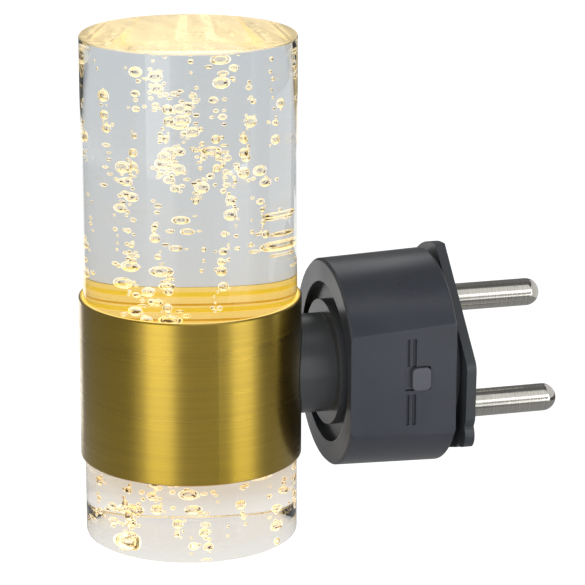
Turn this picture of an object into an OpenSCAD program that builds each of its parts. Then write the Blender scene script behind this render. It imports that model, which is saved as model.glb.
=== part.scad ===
// Plug-in night light: two clear rods in a metal sleeve, carried by a swivelling plug.
// Origin: centre of the seating face between the pins. +Y into the wall, +Z up, +X towards the switch.

/* [Plug pins] */
// Distance between the pins' axes
pin_pitch = 19; // [18.6:0.1:19.4]
// Diameter of each pin
pin_d = 4.8; // [4:0.1:5]
// Length of each pin beyond the seating face
pin_length = 19; // [17:0.5:21]
// Turn of the pins' line away from upright
pin_turn = 30; // [0:1:90]
// Step from each pin down to its shank inside the carrier
shank_step = 0.3; // [0.2:0.1:0.3]
// Diameter of the pin's tail inside the carrier
tail_d = 3; // [2.6:0.1:3.4]
// Diameter of the riveted end that passes the contact ring
rivet_d = 1.8; // [1.4:0.1:2]
// Diameter of the rivet's head
rivet_head_d = 2.6; // [2.3:0.1:2.8]
// Height of the rivet's head
rivet_head_t = 0.3; // [0.2:0.1:0.4]

/* [Pin carrier] */
// Diameter of the seating flange
flange_d = 37.2; // [36:0.1:38.4]
// Height of the flange's centre above the plug's axis
flange_lift = 0.7; // [0:0.1:0.7]
// Width across the flange's two long flats
flange_flats = 27.4; // [26:0.1:32]
// Turn of the long flats' normal away from +X
flange_turn = 46; // [0:1:90]
// Width across the flange's two short flats
flange_sides = 34.2; // [33:0.1:37]
// Turn of the short flats' normal away from +X
flange_side_turn = -2; // [-10:1:10]
// Turn of the foot flat's normal away from +X
flange_foot_turn = -72; // [-80:1:-60]
// Distance from the plug's axis to the foot flat
flange_foot = 16.5; // [16.2:0.1:17.4]
// Radius of the corners between the flats
flange_corner = 2.5; // [0.5:0.1:5]
// Thickness of the flange
flange_t = 1.7; // [1.5:0.1:3]
// Depth of the clearance around each pin in the seating face
pin_relief = 0.3; // [0.2:0.1:0.5]
// Gap between the flange and the housing
swivel_gap = 1.3; // [1:0.1:2.5]
// Wall of the collar outside the pins
collar_wall = 1.7; // [1.5:0.1:2]
// Wall of the journal outside the pins' tails
journal_wall = 0.8; // [0.6:0.1:1]
// Thickness of plastic left behind the shoulder of each pin
shoulder_floor = 0.4; // [0.3:0.1:0.6]
// Length of the journal behind the retaining ring
journal_tail = 0.65; // [0.5:0.05:0.9]

/* [Swivel] */
// Radial clearance of the journal in the front cover
swivel_clearance = 0.05; // [0.03:0.01:0.1]
// Axial play of the swivel at each side of the front cover
swivel_play = 0.05; // [0.03:0.01:0.1]
// Thickness of the retaining ring
ring_t = 0.9; // [0.7:0.1:1.1]
// Depth of the retaining ring's groove
ring_groove = 0.6; // [0.4:0.1:0.7]
// Reach of the retaining ring beyond the journal
ring_reach = 1.1; // [0.8:0.1:1.4]
// Space kept around the retaining ring inside the housing
ring_room = 0.3; // [0.2:0.1:0.5]
// Width of the retaining ring's open gap
ring_gap = 6; // [4:0.5:10]
// Section diameter of the friction ring
friction_ring_d = 1; // [0.8:0.1:1.1]

/* [Contact rings] */
// Inner radius of the inner contact ring
inner_ring_r = 3.1; // [2.8:0.1:3.4]
// Width of the inner contact ring
inner_ring_w = 1.8; // [1.4:0.1:2]
// Width of the outer contact ring
outer_ring_w = 4.3; // [4:0.1:4.5]
// Thickness of the contact rings
contact_t = 0.4; // [0.3:0.1:0.5]
// Width of the strap from the inner ring to its pin
strap_w = 2.6; // [2.3:0.1:3]
// Depth of the strap's slot below the contact rings
strap_depth = 2.4; // [2:0.1:2.6]

/* [Housing] */
// Diameter of the housing at its back
housing_back_d = 35.6; // [35:0.1:38]
// Diameter of the housing at its front
housing_front_d = 36.8; // [36:0.1:38]
// Length of the housing along the plug's axis
housing_length = 18.6; // [18:0.1:24]
// Width across the housing's two flats
housing_flats = 31.2; // [31:0.1:33]
// Side wall of the housing
housing_wall = 2.1; // [1.8:0.1:2.2]
// Back wall of the housing
back_wall = 2.6; // [2.4:0.1:3]
// Round of the housing's front edge
front_round = 0.5; // [0.3:0.1:1.9]
// Chamfer of the housing's back edge
back_chamfer = 0.4; // [0.1:0.1:1]
// Diameter of the recess in the back face
recess_d = 27.6; // [24:0.1:30]
// Depth of the recess in the back face
recess_depth = 1.2; // [0.8:0.1:1.4]
// Thickness of the front cover
cover_t = 1.8; // [1.5:0.1:2.2]
// Step that the front cover seats on
cover_ledge = 0.5; // [0.4:0.1:0.6]
// Diameter of the posts that carry the driver board
post_d = 4; // [3.6:0.1:4.4]
// Direction of the posts around the plug's axis
post_turn = 50; // [48:1:56]

/* [Switch] */
// Distance from the seating face to the knob's centre, switched on
knob_back = 9.35; // [9.2:0.05:10]
// Height of the knob's centre above the plug's axis
knob_lift = 0.6; // [-0.1:0.1:0.7]
// Width of the knob along its travel
knob_w = 3.2; // [2.8:0.1:3.4]
// Height of the knob across its travel
knob_h = 3.9; // [3:0.1:4.2]
// Radius of the knob's corners
knob_round = 0.8; // [0.3:0.1:1.2]
// Height of the knob above the flat
knob_proud = 0.6; // [0.3:0.1:1.2]
// Travel of the knob from on to off
switch_travel = 1; // [0.8:0.1:1.6]
// Clearance around the knob and its skirt
knob_clearance = 0.1; // [0.08:0.01:0.2]
// Overlap of the skirt beyond the window
skirt_overlap = 0.5; // [0.3:0.1:0.6]
// Thickness of the skirt
skirt_t = 1.2; // [0.8:0.1:1.3]
// Thickness of the housing's lip over the skirt
window_lip = 0.6; // [0.5:0.1:0.7]
// Length of the switch body
switch_l = 6.6; // [6.4:0.1:7]
// Height of the switch body
switch_h = 3.6; // [3:0.1:4]
// Thickness of the switch body
switch_t = 3; // [2.6:0.1:3.2]
// Size of each solder leg: away from the body, along Y, along Z
leg = [1.6, 0.5, 1];
// Side of the switch's lever
lever_w = 1.2; // [1:0.1:1.4]
// Depth of the lever in the switch body
lever_depth = 1.2; // [0.8:0.1:1.4]
// Width of the index grooves above and below the knob
index_w = 1.7; // [1.2:0.1:2]
// Length of each index groove
index_l = 5.3; // [4:0.1:5.6]
// Distance between the two index grooves
index_gap = 4.4; // [4.4:0.1:5]
// Depth of the index grooves
index_depth = 0.45; // [0.3:0.05:0.5]
// Diameter of the rib in each index groove
index_rib_d = 0.8; // [0.6:0.1:0.9]

/* [Driver board] */
// Distance from the seating face to the board's front
board_front = 10.4; // [10.2:0.1:10.8]
// Thickness of the driver board
board_t = 1.6; // [1.4:0.1:1.8]
// Gap between the board and the housing's wall
board_gap = 0.4; // [0.3:0.1:0.6]
// Size of the film capacitor: along X, along Z
film_cap = [12, 5.4];
// Space between the film capacitor and the back wall
film_cap_room = 0.6; // [0.4:0.1:2]
// Distance of the film capacitor's middle from the board's edge
film_cap_inset = 4.6; // [4.4:0.1:5]
// Diameter of the smoothing capacitor
smooth_cap_d = 6.3; // [5:0.1:6.5]
// Space between the smoothing capacitor and the back wall
smooth_cap_room = 0.8; // [0.6:0.1:2]
// Direction of the smoothing capacitor around the plug's axis
smooth_cap_turn = 118; // [114:1:130]
// Distance of the smoothing capacitor's side from the board's edge
smooth_cap_inset = 0.4; // [0.2:0.1:0.8]
// Size of the bridge rectifier: along X, along Y, along Z
bridge = [3.8, 2.5, 4.7];
// Size of the driver chip: along X, along Y, along Z
chip = [4.9, 1.5, 3.9];
// Distance of the driver chip and the bridge rectifier from the board's flat edge
chip_inset = 1.2; // [0.8:0.1:1.6]
// Diameter of the fuse resistor
fuse_d = 2.8; // [2:0.1:3]
// Length of the fuse resistor
fuse_l = 6.6; // [5:0.1:7]
// Distance of the fuse resistor's middle from the board's edge
fuse_inset = 4.5; // [4:0.1:5]
// Distance of the fuse resistor's middle from the plug's axis, along X
fuse_shift = 2; // [1.5:0.1:2.5]
// Diameter of the board screws
board_screw_d = 2; // [1.6:0.1:2.2]
// Length of the board screws under the head
board_screw_l = 6; // [4:0.1:7]
// Thickness of the contact springs
spring_t = 0.2; // [0.15:0.05:0.3]
// Width of the contact springs
spring_w = 1.1; // [0.8:0.1:1.2]

/* [Neck] */
// Diameter of the neck
neck_d = 17; // [14:0.1:18]
// Diameter of the neck's flange
neck_flange_d = 21.6; // [19:0.1:23]
// Height of the neck's flange above the back face
neck_flange_proud = 0.3; // [0.1:0.1:1]
// Diameter of the threaded tail inside the housing
neck_tail_d = 9; // [8:0.1:10]
// Length of thread behind the nut
neck_tail_spare = 0.4; // [0.2:0.1:0.6]
// Diameter of the threaded spigot inside the sleeve
spigot_d = 6.8; // [6:0.1:7]
// Length of the spigot inside the lamp core
spigot_l = 9; // [6:0.5:11]
// Diameter of the wire passage
passage_d = 3.8; // [3.4:0.1:4.2]
// Width across the flats of the neck nut
nut_flats = 12.4; // [11.5:0.1:12.6]
// Thickness of the neck nut
nut_t = 2.4; // [2:0.1:2.6]

/* [Lamp] */
// Distance from the seating face to the lamp's axis
lamp_back = 45.2; // [44.8:0.1:52]
// Diameter of the clear rods
crystal_d = 36; // [34:0.5:37]
// Height of the upper rod above the sleeve
upper_visible = 44.3; // [30:0.1:80]
// Height of the lower rod below the sleeve
lower_visible = 13.7; // [8:0.1:40]
// Chamfer on the rods' ends
crystal_chamfer = 0.4; // [0.1:0.1:1]
// Length of the sleeve
sleeve_length = 27.8; // [26:0.1:34]
// Wall of the sleeve
sleeve_wall = 0.7; // [0.6:0.1:1]
// Chamfer on the sleeve's outer edges
sleeve_chamfer = 0.2; // [0.1:0.1:0.3]
// Number of turned grooves inside each end of the sleeve
groove_count = 3; // [1:1:3]
// Distance between the turned grooves
groove_pitch = 2.6; // [2.4:0.1:2.8]
// Distance from the sleeve's rim to the first turned groove
groove_lead = 0.8; // [0.4:0.1:1]
// Width of the turned grooves
groove_width = 0.8; // [0.5:0.1:1]
// Depth of the turned grooves
groove_depth = 0.15; // [0.1:0.05:0.2]
// Land between a turned groove and the score line above it
score_land = 0.3; // [0.2:0.1:0.5]
// Width of the score lines
score_width = 0.4; // [0.2:0.1:0.5]
// Depth of the score lines
score_depth = 0.3; // [0.2:0.05:0.35]
// Height of the lamp core
core_h = 8.4; // [8:0.1:9]
// Thickness of the LED boards
led_board_t = 1; // [0.8:0.1:1.2]
// Radial clearance between an LED board and the sleeve
led_board_gap = 0.4; // [0.2:0.1:0.8]
// Size of one LED: along the ring, outwards, high
led = [3, 2.8, 0.7];
// Number of LEDs on each board
led_count = 6; // [3:1:8]
// Radius of the ring of LEDs
led_ring_r = 9; // [7:0.1:10]
// Space between the LEDs and the rod above them
led_air = 0.5; // [0.3:0.1:0.8]
// Diameter of the wire hole through the core and the LED boards
wire_hole_d = 3.2; // [3:0.1:4]
// Diameter of the LED boards' screws
led_screw_d = 2; // [1.6:0.1:2.2]
// Length of the LED boards' screws under the head
led_screw_l = 4; // [3:0.1:4.4]
// Distance of the LED boards' screws from the lamp's axis
led_screw_r = 14; // [13:0.1:14.6]
// Diameter of each lead wire
wire_d = 0.8; // [0.6:0.1:0.9]
// Radius of the bend in each lead wire
wire_bend = 1; // [0.8:0.1:1.1]

/* [Bubbles] */
// Diameter of the smallest air bubbles in the rods
bubble_min_d = 0.9; // [0.6:0.1:1]
// Diameter of the largest air bubbles in the rods
bubble_max_d = 2; // [1.4:0.1:2.4]
// Height of rod that each rising chain of bubbles has to itself
chain_share = 0.9; // [0.8:0.1:6]
// Number of bubbles in a chain
chain_count = 3; // [1:1:5]
// Mean rise from one bubble of a chain to the next
chain_rise = 2.6; // [2:0.1:6]
// Scatter of each bubble around its place in the chain
chain_scatter = 0.6; // [0:0.1:1.5]
// Least thickness of acrylic around each bubble
bubble_cover = 0.2; // [0.15:0.05:1]
// Number that picks one scatter of the bubbles
bubble_seed = 11; // [1:1:60]

/* [Fits] */
// Clearance between pieces that are assembled and stay put
assembly_gap = 0.05; // [0.03:0.01:0.08]
// Clearance between the moving contacts
contact_gap = 0.1; // [0.05:0.01:0.15]
// Clearance between the swivel's rear and the switch
sweep_gap = 0.2; // [0.15:0.05:0.3]
// Height of the small screws' heads, as a share of the thread's diameter
screw_head_ratio = 0.4; // [0.3:0.05:0.5]
// Width of the small screws' heads, as a share of the thread's diameter
screw_head_width = 1.8; // [1.6:0.1:1.9]
// Depth to which the board's posts run into the housing's wall
post_blend = 0.1; // [0.05:0.05:0.3]

/* [Hidden] */
$fn = 96;
bubble_fn = 32;
over = 1;

// Plug axis stations, measured back from the seating face
pin_r = pin_pitch / 2;
housing_front = flange_t + swivel_gap;
housing_back = housing_front + housing_length;
shoulder = housing_front - swivel_play - shoulder_floor;
cover_rear = housing_front + cover_t;
groove_w = ring_t + 2 * swivel_play;
journal_rear = cover_rear + swivel_play + groove_w + journal_tail;
slot_floor = journal_rear - strap_depth;
sweep_rear = journal_rear + contact_t + rivet_head_t;
board_rear = board_front + board_t;
cavity_rear = housing_back - back_wall;
recess_floor = housing_back - recess_depth;

// Swivel radii
shank_r = pin_d / 2 - shank_step;
journal_r = pin_r + tail_d / 2 + journal_wall;
collar_r = pin_r + pin_d / 2 + collar_wall;
ring_inner = journal_r - ring_groove + assembly_gap;
ring_outer = journal_r + ring_reach;
friction_groove_w = friction_ring_d + 2 * assembly_gap;
friction_r = (pin_r + pin_d / 2 + collar_r) / 2;

// Housing section
cavity_r = housing_back_d / 2 - housing_wall;
flat_x = housing_flats / 2;
cavity_flat = flat_x - housing_wall;
post_r = cavity_r - post_d / 2 + post_blend;
board_r = cavity_r - board_gap;
board_flat = cavity_flat - board_gap;

// Switch stations
skirt_w = knob_w + 2 * (switch_travel + skirt_overlap);
skirt_h = knob_h + 2 * skirt_overlap;
window_w = knob_w + switch_travel + 2 * knob_clearance;
switch_front = sweep_rear + sweep_gap;
switch_top = cavity_flat - assembly_gap;
notch_x = switch_top - switch_t - board_gap;

// Lamp stations
sleeve_r = crystal_d / 2 + assembly_gap + sleeve_wall;
sleeve_inner = crystal_d / 2 + assembly_gap;
core_top = core_h / 2;
led_base = core_top + led_board_t;
crystal_seat = led_base + led[2] + led_air;
sleeve_top = sleeve_length / 2;
wire_offset = wire_d;

// ---- Helpers ----

// Round bar along Y, between two distances back from the seating face
module bar(r, from, to) {
  translate([0, -from, 0])
    rotate([90, 0, 0])
      cylinder(r = r, h = to - from);
}

// The same along Y, cut by two flats at x = +-flat
module flat_bar(r, flat, from, to) {
  intersection() {
    bar(r, from, to);
    translate([-flat, -to, -r])
      cube([2 * flat, to - from, 2 * r]);
  }
}

// Moves the children to the pin on the given side, 1 for the upper and -1 for the lower
module at_pin(side) {
  translate([-side * pin_r * sin(pin_turn), 0, side * pin_r * cos(pin_turn)])
    children();
}

// Moves the children to each of the driver board's two posts
module at_posts() {
  for (turn = [post_turn, post_turn + 180])
    translate([post_r * cos(turn), 0, post_r * sin(turn)])
      children();
}

// Places the children on the lamp's axis, the right way up or upside down
module on_lamp(side) {
  translate([0, -lamp_back, 0])
    rotate([side > 0 ? 0 : 180, 0, 0])
      children();
}

// A box centred on X and Z whose front is at the given distance back from the seating face
module board_box(size, x, from, z) {
  translate([x - size[0] / 2, -from - size[1], z - size[2] / 2])
    cube(size);
}

// ---- Pins and swivel ----

module pin_body(tail_end) {
  tip = pin_length - pin_d / 2;
  rivet_end = tail_end + contact_t;
  translate([0, tip, 0])
    intersection() {
      sphere(d = pin_d);
      translate([-pin_d / 2, 0, -pin_d / 2])
        cube(pin_d);
    }
  bar(pin_d / 2, -tip, -assembly_gap);
  bar(shank_r, -assembly_gap, shoulder);
  bar(tail_d / 2, shoulder, tail_end);
  bar(rivet_d / 2, tail_end, rivet_end);
  bar(rivet_head_d / 2, rivet_end, rivet_end + rivet_head_t);
}

module pin_bore(tail_end) {
  bar(pin_d / 2 + assembly_gap, -over, pin_relief);
  bar(shank_r + assembly_gap, -over, shoulder + assembly_gap);
  bar(tail_d / 2 + assembly_gap, 0, tail_end + over);
}

// The flange's corners: turn and distance of one flat, bend to the next flat, and that flat's distance
function flange_corners() = [
  for (side = [0, 180])
    [flange_turn + side, flange_flats / 2, flange_side_turn - flange_turn, flange_sides / 2],
  [flange_side_turn, flange_sides / 2, flange_foot_turn - flange_side_turn, flange_foot]
];

// Moves the children to the middle of a corner's round, turned as the corner's first flat
module at_flange_corner(corner) {
  near = corner[1] - flange_corner;
  far = corner[3] - flange_corner;
  rotate(corner[0])
    translate([near, (far - near * cos(corner[2])) / sin(corner[2])])
      children();
}

// A disc with two long flats, two short ones and a foot flat, and round corners where flats meet
module flange_outline() {
  difference() {
    intersection() {
      translate([0, flange_lift])
        circle(d = flange_d);
      rotate(flange_turn)
        square([flange_flats, 2 * flange_d], center = true);
      rotate(flange_side_turn)
        square([flange_sides, 2 * flange_d], center = true);
      rotate(flange_foot_turn)
        translate([flange_foot - 2 * flange_d, -flange_d])
          square(2 * flange_d);
    }
    for (corner = flange_corners())
      at_flange_corner(corner)
        rotate(corner[2] / 2)
          translate([flange_corner * cos(corner[2] / 2), -flange_corner])
            square(2 * flange_corner);
  }
  for (corner = flange_corners())
    at_flange_corner(corner)
      circle(r = flange_corner);
}

module flange() {
  rotate([90, 0, 0])
    linear_extrude(height = flange_t)
      flange_outline();
}

module pin_carrier() {
  collar_rear = housing_front - swivel_play;
  color("#46484a")
    difference() {
      union() {
        flange();
        bar(collar_r, flange_t, collar_rear);
        bar(journal_r, collar_rear, journal_rear);
      }
      at_pin(1)
        pin_bore(journal_rear);
      at_pin(-1)
        pin_bore(slot_floor);
      difference() {
        bar(journal_r + over, cover_rear + swivel_play, cover_rear + swivel_play + groove_w);
        bar(journal_r - ring_groove, 0, journal_rear);
      }
      difference() {
        bar(friction_r + friction_groove_w / 2, collar_rear - friction_groove_w, collar_rear + over / 2);
        bar(friction_r - friction_groove_w / 2, 0, collar_rear + over);
      }
      strap_slot();
    }
}

// Radial slot in the journal for the strap of the inner contact ring
module strap_slot() {
  rotate([0, 90 - pin_turn, 0])
    translate([inner_ring_r - assembly_gap, -journal_rear - over, -strap_w / 2 - assembly_gap])
      cube([pin_r - inner_ring_r + strap_w / 2, strap_depth + over, strap_w + 2 * assembly_gap]);
}

module upper_pin() {
  color("#c4c5c3")
    at_pin(1)
      pin_body(journal_rear);
}

module lower_pin() {
  color("#c4c5c3")
    at_pin(-1)
      pin_body(slot_floor);
}

module contact_rings() {
  ring_rear = journal_rear + contact_t;
  outer_ring_r = (pin_r + rivet_head_d / 2 + journal_r) / 2;
  color("#c9a24a") {
    difference() {
      bar(outer_ring_r, journal_rear, ring_rear);
      bar(outer_ring_r - outer_ring_w, 0, ring_rear + over);
      at_pin(1)
        bar(rivet_d / 2 + assembly_gap, 0, ring_rear + over);
    }
    difference() {
      union() {
        bar(inner_ring_r + inner_ring_w, journal_rear, ring_rear);
        rotate([0, 90 - pin_turn, 0]) {
          translate([inner_ring_r, -ring_rear, -strap_w / 2])
            cube([inner_ring_w / 2, strap_depth + contact_t, strap_w]);
          translate([inner_ring_r, -slot_floor - contact_t, -strap_w / 2])
            cube([pin_r - inner_ring_r + strap_w / 2 - 2 * assembly_gap, contact_t, strap_w]);
        }
      }
      bar(inner_ring_r, 0, ring_rear + over);
      at_pin(-1)
        bar(rivet_d / 2 + assembly_gap, 0, ring_rear + over);
    }
  }
}

module retaining_ring() {
  front = cover_rear + 2 * swivel_play;
  color("#8f9499")
    difference() {
      bar(ring_outer, front, front + ring_t);
      bar(ring_inner, 0, front + ring_t + over);
      rotate([0, pin_turn, 0])
        translate([0, -front - ring_t - over, -ring_gap / 2])
          cube([ring_outer + over, ring_t + 2 * over, ring_gap]);
    }
}

module friction_ring() {
  color("#1d1d1f")
    translate([0, friction_ring_d / 2 + swivel_play - housing_front, 0])
      rotate([90, 0, 0])
        rotate_extrude()
          translate([friction_r, 0])
            circle(d = friction_ring_d);
}

// ---- Plug housing and what it holds ----

module housing_profile() {
  back_r = housing_back_d / 2;
  front_r = housing_front_d / 2;
  round_steps = 8;
  rotate([90, 0, 0])
    rotate_extrude()
      polygon([
        [0, housing_back], [back_r - back_chamfer, housing_back], [back_r, housing_back - back_chamfer],
        for (step = [0:round_steps])
          let (turn = 90 * step / round_steps)
            [front_r - front_round * (1 - cos(turn)), housing_front + front_round * (1 - sin(turn))],
        [0, housing_front]
      ]);
}

module index_groove(side) {
  middle = side * (index_gap + index_l) / 2;
  rail = knob_back + knob_w / 2 + assembly_gap;
  rib_r = index_rib_d / 2;
  difference() {
    translate([flat_x - index_depth, -rail - index_w / 2, middle - index_l / 2])
      cube([index_depth + over, index_w, index_l]);
    translate([flat_x - rib_r, -rail, middle - index_l / 2])
      cylinder(r = rib_r, h = index_l);
  }
}

module switch_window() {
  middle = knob_back + switch_travel / 2;
  skirt_room = skirt_w + switch_travel + 2 * knob_clearance;
  translate([cavity_flat - over, -middle - window_w / 2, knob_lift - knob_h / 2 - knob_clearance])
    cube([housing_wall + 2 * over, window_w, knob_h + 2 * knob_clearance]);
  translate([cavity_flat - over, -middle - skirt_room / 2, knob_lift - skirt_h / 2 - knob_clearance])
    cube([housing_wall - window_lip + over, skirt_room, skirt_h + 2 * knob_clearance]);
}

module plug_housing() {
  color("#424346")
    difference() {
      intersection() {
        housing_profile();
        flat_bar(housing_front_d, flat_x, housing_front, housing_back);
      }
      difference() {
        flat_bar(cavity_r, cavity_flat, housing_front - over, cavity_rear);
        intersection() {
          bar(cavity_r + over, board_rear, cavity_rear + over);
          at_posts()
            bar(post_d / 2, board_rear, cavity_rear + over);
        }
      }
      at_posts()
        bar(board_screw_d / 2 + assembly_gap, 0, board_front + board_screw_l + assembly_gap);
      flat_bar(cavity_r + cover_ledge, cavity_flat + cover_ledge, housing_front - over, cover_rear);
      bar(ring_outer + ring_room, cover_rear, cover_rear + 2 * swivel_play + ring_t + ring_room);
      bar(recess_d / 2, recess_floor, housing_back + over);
      bar(neck_tail_d / 2 + assembly_gap, cavity_rear - over, housing_back + over);
      switch_window();
      index_groove(1);
      index_groove(-1);
    }
}

module front_cover() {
  color("#3a3b3e")
    difference() {
      flat_bar(cavity_r + cover_ledge - assembly_gap, cavity_flat + cover_ledge - assembly_gap,
               housing_front, cover_rear);
      bar(journal_r + swivel_clearance, 0, cover_rear + over);
    }
}

module driver_board() {
  notch_h = switch_h + 2 * board_gap;
  color("#2f6b3c")
    difference() {
      flat_bar(board_r, board_flat, board_front, board_rear);
      at_posts()
        bar(board_screw_d / 2 + assembly_gap, 0, board_rear + over);
      translate([notch_x, -board_rear - over, knob_lift - notch_h / 2])
        cube([board_r, board_t + 2 * over, notch_h]);
    }
}

module board_screws() {
  head_t = board_screw_d * screw_head_ratio;
  color("#b9bcc0")
    at_posts() {
      bar(board_screw_d / 2, board_front, board_front + board_screw_l);
      bar(board_screw_d * screw_head_width / 2, board_front - head_t, board_front);
    }
}

module film_capacitor() {
  color("#b8231c")
    board_box([film_cap[0], cavity_rear - film_cap_room - board_rear, film_cap[1]], 0, board_rear,
              film_cap_inset - board_r);
}

module smoothing_capacitor() {
  cap_r = smooth_cap_d / 2;
  reach = board_r - smooth_cap_inset - cap_r;
  color("#27313f")
    translate([reach * cos(smooth_cap_turn), 0, reach * sin(smooth_cap_turn)])
      bar(cap_r, board_rear, cavity_rear - smooth_cap_room);
}

module bridge_rectifier() {
  color("#202124")
    board_box(bridge, bridge[0] / 2 + chip_inset - board_flat, board_rear, 0);
}

module driver_chip() {
  color("#1b1c1f")
    board_box(chip, chip[0] / 2 + chip_inset - board_flat, board_front - chip[1], 0);
}

module fuse_resistor() {
  color("#5f8f8a")
    translate([fuse_shift - fuse_l / 2, -board_rear - fuse_d / 2, board_r - fuse_inset])
      rotate([0, 90, 0])
        cylinder(d = fuse_d, h = fuse_l);
}

// One leaf: a foot on the board, a ramp, and a nose behind the contact ring
module contact_spring(r, turn) {
  nose = journal_rear + contact_t + contact_gap;
  foot_l = 2;
  ramp_l = 4;
  nose_l = 1.2;
  rotate([0, turn, 0])
    translate([r - spring_w / 2, 0, 0])
      rotate([0, 90, 0])
        linear_extrude(height = spring_w)
          polygon([
            [-nose_l / 2, -nose], [nose_l / 2, -nose], [nose_l / 2 + ramp_l, -board_front + spring_t],
            [nose_l / 2 + ramp_l + foot_l, -board_front + spring_t],
            [nose_l / 2 + ramp_l + foot_l, -board_front], [nose_l / 2 + ramp_l - spring_t, -board_front],
            [nose_l / 2 - spring_t / 2, -nose - spring_t], [-nose_l / 2, -nose - spring_t]
          ]);
}

module contact_springs() {
  color("#c9a24a") {
    contact_spring(inner_ring_r + inner_ring_w / 2, 180);
    contact_spring(pin_r - rivet_head_d / 2 - contact_gap - spring_w / 2, 90);
  }
}

module switch_body() {
  slot_l = lever_w + switch_travel + 2 * knob_clearance;
  slot_h = lever_w + 2 * knob_clearance;
  slot_middle = knob_back + switch_travel / 2;
  color("#2a2b2e")
    difference() {
      translate([switch_top - switch_t, -switch_front - switch_l, knob_lift - switch_h / 2])
        cube([switch_t, switch_l, switch_h]);
      translate([switch_top - lever_depth - knob_clearance, -slot_middle - slot_l / 2,
                 knob_lift - slot_h / 2])
        cube([lever_depth + over, slot_l, slot_h]);
    }
}

// Solder legs that straddle the driver board's edge
module switch_legs() {
  color("#c9cccf")
    for (from = [board_front - leg[1], board_rear])
      board_box(leg, switch_top - switch_t - leg[0] / 2, from, knob_lift);
}

module switch_knob() {
  knob_base = cavity_flat + knob_clearance;
  color("#6c6d71")
    translate([0, -knob_back, knob_lift]) {
      translate([knob_base, 0, 0])
        rotate([0, 90, 0])
          linear_extrude(height = flat_x + knob_proud - knob_base)
            rounded_rectangle(knob_h, knob_w, knob_round);
      translate([knob_base, -skirt_w / 2, -skirt_h / 2])
        cube([skirt_t, skirt_w, skirt_h]);
      translate([switch_top - lever_depth, -lever_w / 2, -lever_w / 2])
        cube([knob_base - switch_top + lever_depth + over / 2, lever_w, lever_w]);
    }
}

module rounded_rectangle(along_x, along_y, r) {
  square([along_x - 2 * r, along_y], center = true);
  square([along_x, along_y - 2 * r], center = true);
  for (x = [-1, 1], y = [-1, 1])
    translate([x * (along_x / 2 - r), y * (along_y / 2 - r)])
      circle(r = r);
}

// ---- Neck ----

module neck() {
  flange_rear = housing_back + neck_flange_proud;
  tail_front = cavity_rear - nut_t - neck_tail_spare;
  core_face = lamp_back - sleeve_inner;
  color("#3e3f42")
    difference() {
      union() {
        bar(neck_flange_d / 2, recess_floor, flange_rear);
        difference() {
          bar(neck_d / 2, recess_floor, lamp_back);
          translate([0, -lamp_back, -neck_d])
            cylinder(r = sleeve_r + assembly_gap, h = 2 * neck_d);
        }
        bar(neck_tail_d / 2, tail_front, recess_floor);
        bar(spigot_d / 2, recess_floor, core_face + spigot_l);
      }
      bar(passage_d / 2, tail_front - over, core_face + spigot_l + over);
    }
}

module neck_nut() {
  color("#a7abb0")
    difference() {
      translate([0, nut_t - cavity_rear, 0])
        rotate([90, 0, 0])
          cylinder(d = nut_flats / cos(30), h = nut_t, $fn = 6);
      bar(neck_tail_d / 2 + assembly_gap, 0, cavity_rear + over);
    }
}

// ---- Lamp ----

module lamp_core() {
  core_r = sleeve_inner - assembly_gap;
  bore_end = lamp_back - sleeve_inner + spigot_l + assembly_gap;
  color("#b4b7ba")
    difference() {
      on_lamp(1)
        translate([0, 0, -core_top])
          cylinder(r = core_r, h = core_h);
      bar(spigot_d / 2 + assembly_gap, 0, bore_end);
      bar(passage_d / 2, 0, lamp_back + passage_d / 2);
      on_lamp(1)
        translate([0, 0, -core_h])
          cylinder(d = wire_hole_d, h = 2 * core_h);
      at_led_screws()
        translate([0, 0, led_base - led_screw_l - assembly_gap])
          cylinder(d = led_screw_d + 2 * assembly_gap, h = led_screw_l + over);
    }
}

// Moves the children to each of the LED boards' screws, with the board's outer side up
module at_led_screws() {
  for (side = [1, -1], across = [1, -1])
    on_lamp(side)
      translate([across * led_screw_r, 0, 0])
        children();
}

// A recess turned into the sleeve's bore, from the given height up
module turned_recess(from, width, depth) {
  translate([0, 0, from])
    cylinder(r = sleeve_inner + depth, h = width);
}

module sleeve() {
  color("#a98c24")
    difference() {
      on_lamp(1)
        rotate_extrude()
          polygon([
            [sleeve_inner, -sleeve_top], [sleeve_r - sleeve_chamfer, -sleeve_top],
            [sleeve_r, sleeve_chamfer - sleeve_top], [sleeve_r, sleeve_top - sleeve_chamfer],
            [sleeve_r - sleeve_chamfer, sleeve_top], [sleeve_inner, sleeve_top]
          ]);
      for (side = [1, -1], i = [1:groove_count])
        on_lamp(side)
          translate([0, 0, sleeve_top - groove_lead + (1 - i) * groove_pitch]) {
            turned_recess(-groove_width, groove_width, groove_depth);
            if (i > 1)
              turned_recess(score_land, score_width, score_depth);
          }
      bar(spigot_d / 2 + assembly_gap, 0, lamp_back);
    }
}

module led_board(side) {
  color("#eeeeea")
    difference() {
      on_lamp(side)
        translate([0, 0, core_top])
          cylinder(r = sleeve_inner - led_board_gap, h = led_board_t);
      on_lamp(side)
        cylinder(d = wire_hole_d, h = led_base + over);
      at_led_screws()
        cylinder(d = led_screw_d + 2 * assembly_gap, h = led_base + over);
    }
}

module upper_led_board() {
  led_board(1);
}

module lower_led_board() {
  led_board(-1);
}

module leds(side) {
  color("#f3c64a")
    on_lamp(side)
      for (i = [0:led_count - 1])
        rotate([0, 0, 360 * i / led_count])
          translate([led_ring_r - led[1] / 2, -led[0] / 2, led_base])
            cube([led[1], led[0], led[2]]);
}

module upper_leds() {
  leds(1);
}

module lower_leds() {
  leds(-1);
}

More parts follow.
